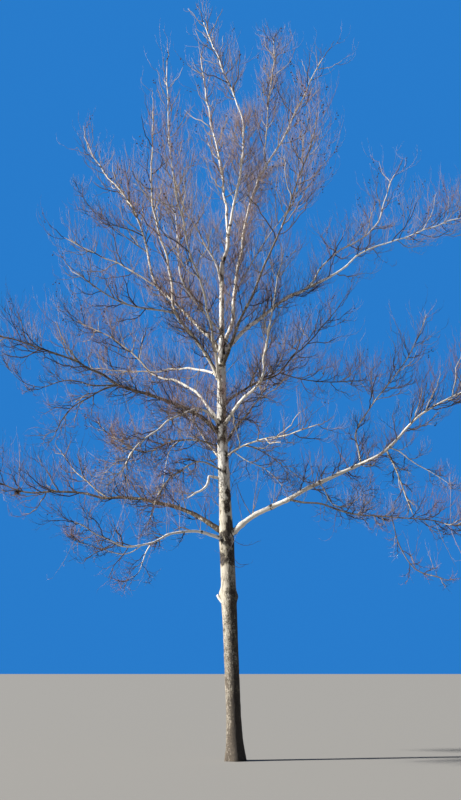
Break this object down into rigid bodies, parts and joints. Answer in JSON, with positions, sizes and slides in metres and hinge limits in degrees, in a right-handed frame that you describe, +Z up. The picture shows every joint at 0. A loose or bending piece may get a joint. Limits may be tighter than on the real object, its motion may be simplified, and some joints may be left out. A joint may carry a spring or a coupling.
{
  "type": "american sycamore tree",
  "caption": "Bare winter sycamore with a tall straight trunk, pale spreading boughs, fine rising twigs and small hanging seed balls, cut flat at ground level.",
  "frame": {"origin": "middle of the flat cut under the trunk, at ground level", "axes": "+Z up the trunk; +X to the right and +Y away from the viewer, as the picture shows the tree"},
  "size_m": [17.2516, 13.4789, 24.7779],
  "materials": {
    "trunk_bark": "rough scaly grey-brown bark, flaking to cream higher up",
    "bough_bark": "smooth matt cream bark with grey-brown patches",
    "twigs": "matt grey-brown twigs with dark brown seed balls"
  },
  "bodies": {
    "root": {"trunk": "trunk_bark", "back_left_bough": "bough_bark", "back_right_bough": "bough_bark", "front_left_bough": "bough_bark", "front_right_bough": "bough_bark", "left_droop_bough": "bough_bark", "left_hanging_bough": "bough_bark", "left_inner_bough": "bough_bark", "left_lead_bough": "bough_bark", "left_leader_bough": "bough_bark", "left_level_bough": "bough_bark", "left_low_bough": "bough_bark", "left_mid_bough": "bough_bark", "left_upper_bough": "bough_bark", "right_behind_bough": "bough_bark", "right_droop_bough": "bough_bark", "right_far_bough": "bough_bark", "right_knob_bough": "bough_bark", "right_low_bough": "bough_bark", "right_riser_bough": "bough_bark", "right_shoot_bough": "bough_bark", "right_stem_bough": "bough_bark", "right_upper_bough": "bough_bark", "top_bough": "bough_bark", "back_left_twigs": "twigs", "back_right_twigs": "twigs", "front_left_twigs": "twigs", "front_right_twigs": "twigs", "left_arch_twigs": "twigs", "left_bow_twigs": "twigs", "left_crook_twigs": "twigs", "left_droop_twigs": "twigs", "left_hanging_twigs": "twigs", "left_inner_twigs": "twigs", "left_lead_twigs": "twigs", "left_leader_side_twigs": "twigs", "left_leader_twigs": "twigs", "left_level_twigs": "twigs", "left_low_rising_twigs": "twigs", "left_low_twigs": "twigs", "left_mid_low_twigs": "twigs", "left_mid_twigs": "twigs", "left_upper_side_twigs": "twigs", "left_upper_twigs": "twigs", "right_arm_twigs": "twigs", "right_behind_low_twigs": "twigs", "right_behind_twigs": "twigs", "right_droop_twigs": "twigs", "right_far_twigs": "twigs", "right_hanging_twigs": "twigs", "right_knob_twigs": "twigs", "right_low_twigs": "twigs", "right_riser_twigs": "twigs", "right_shoot_twigs": "twigs", "right_spray_twigs": "twigs", "right_stem_inner_twigs": "twigs", "right_stem_twigs": "twigs", "right_tail_twigs": "twigs", "top_left_twigs": "twigs", "top_twigs": "twigs"}
  },
  "joints": []
}
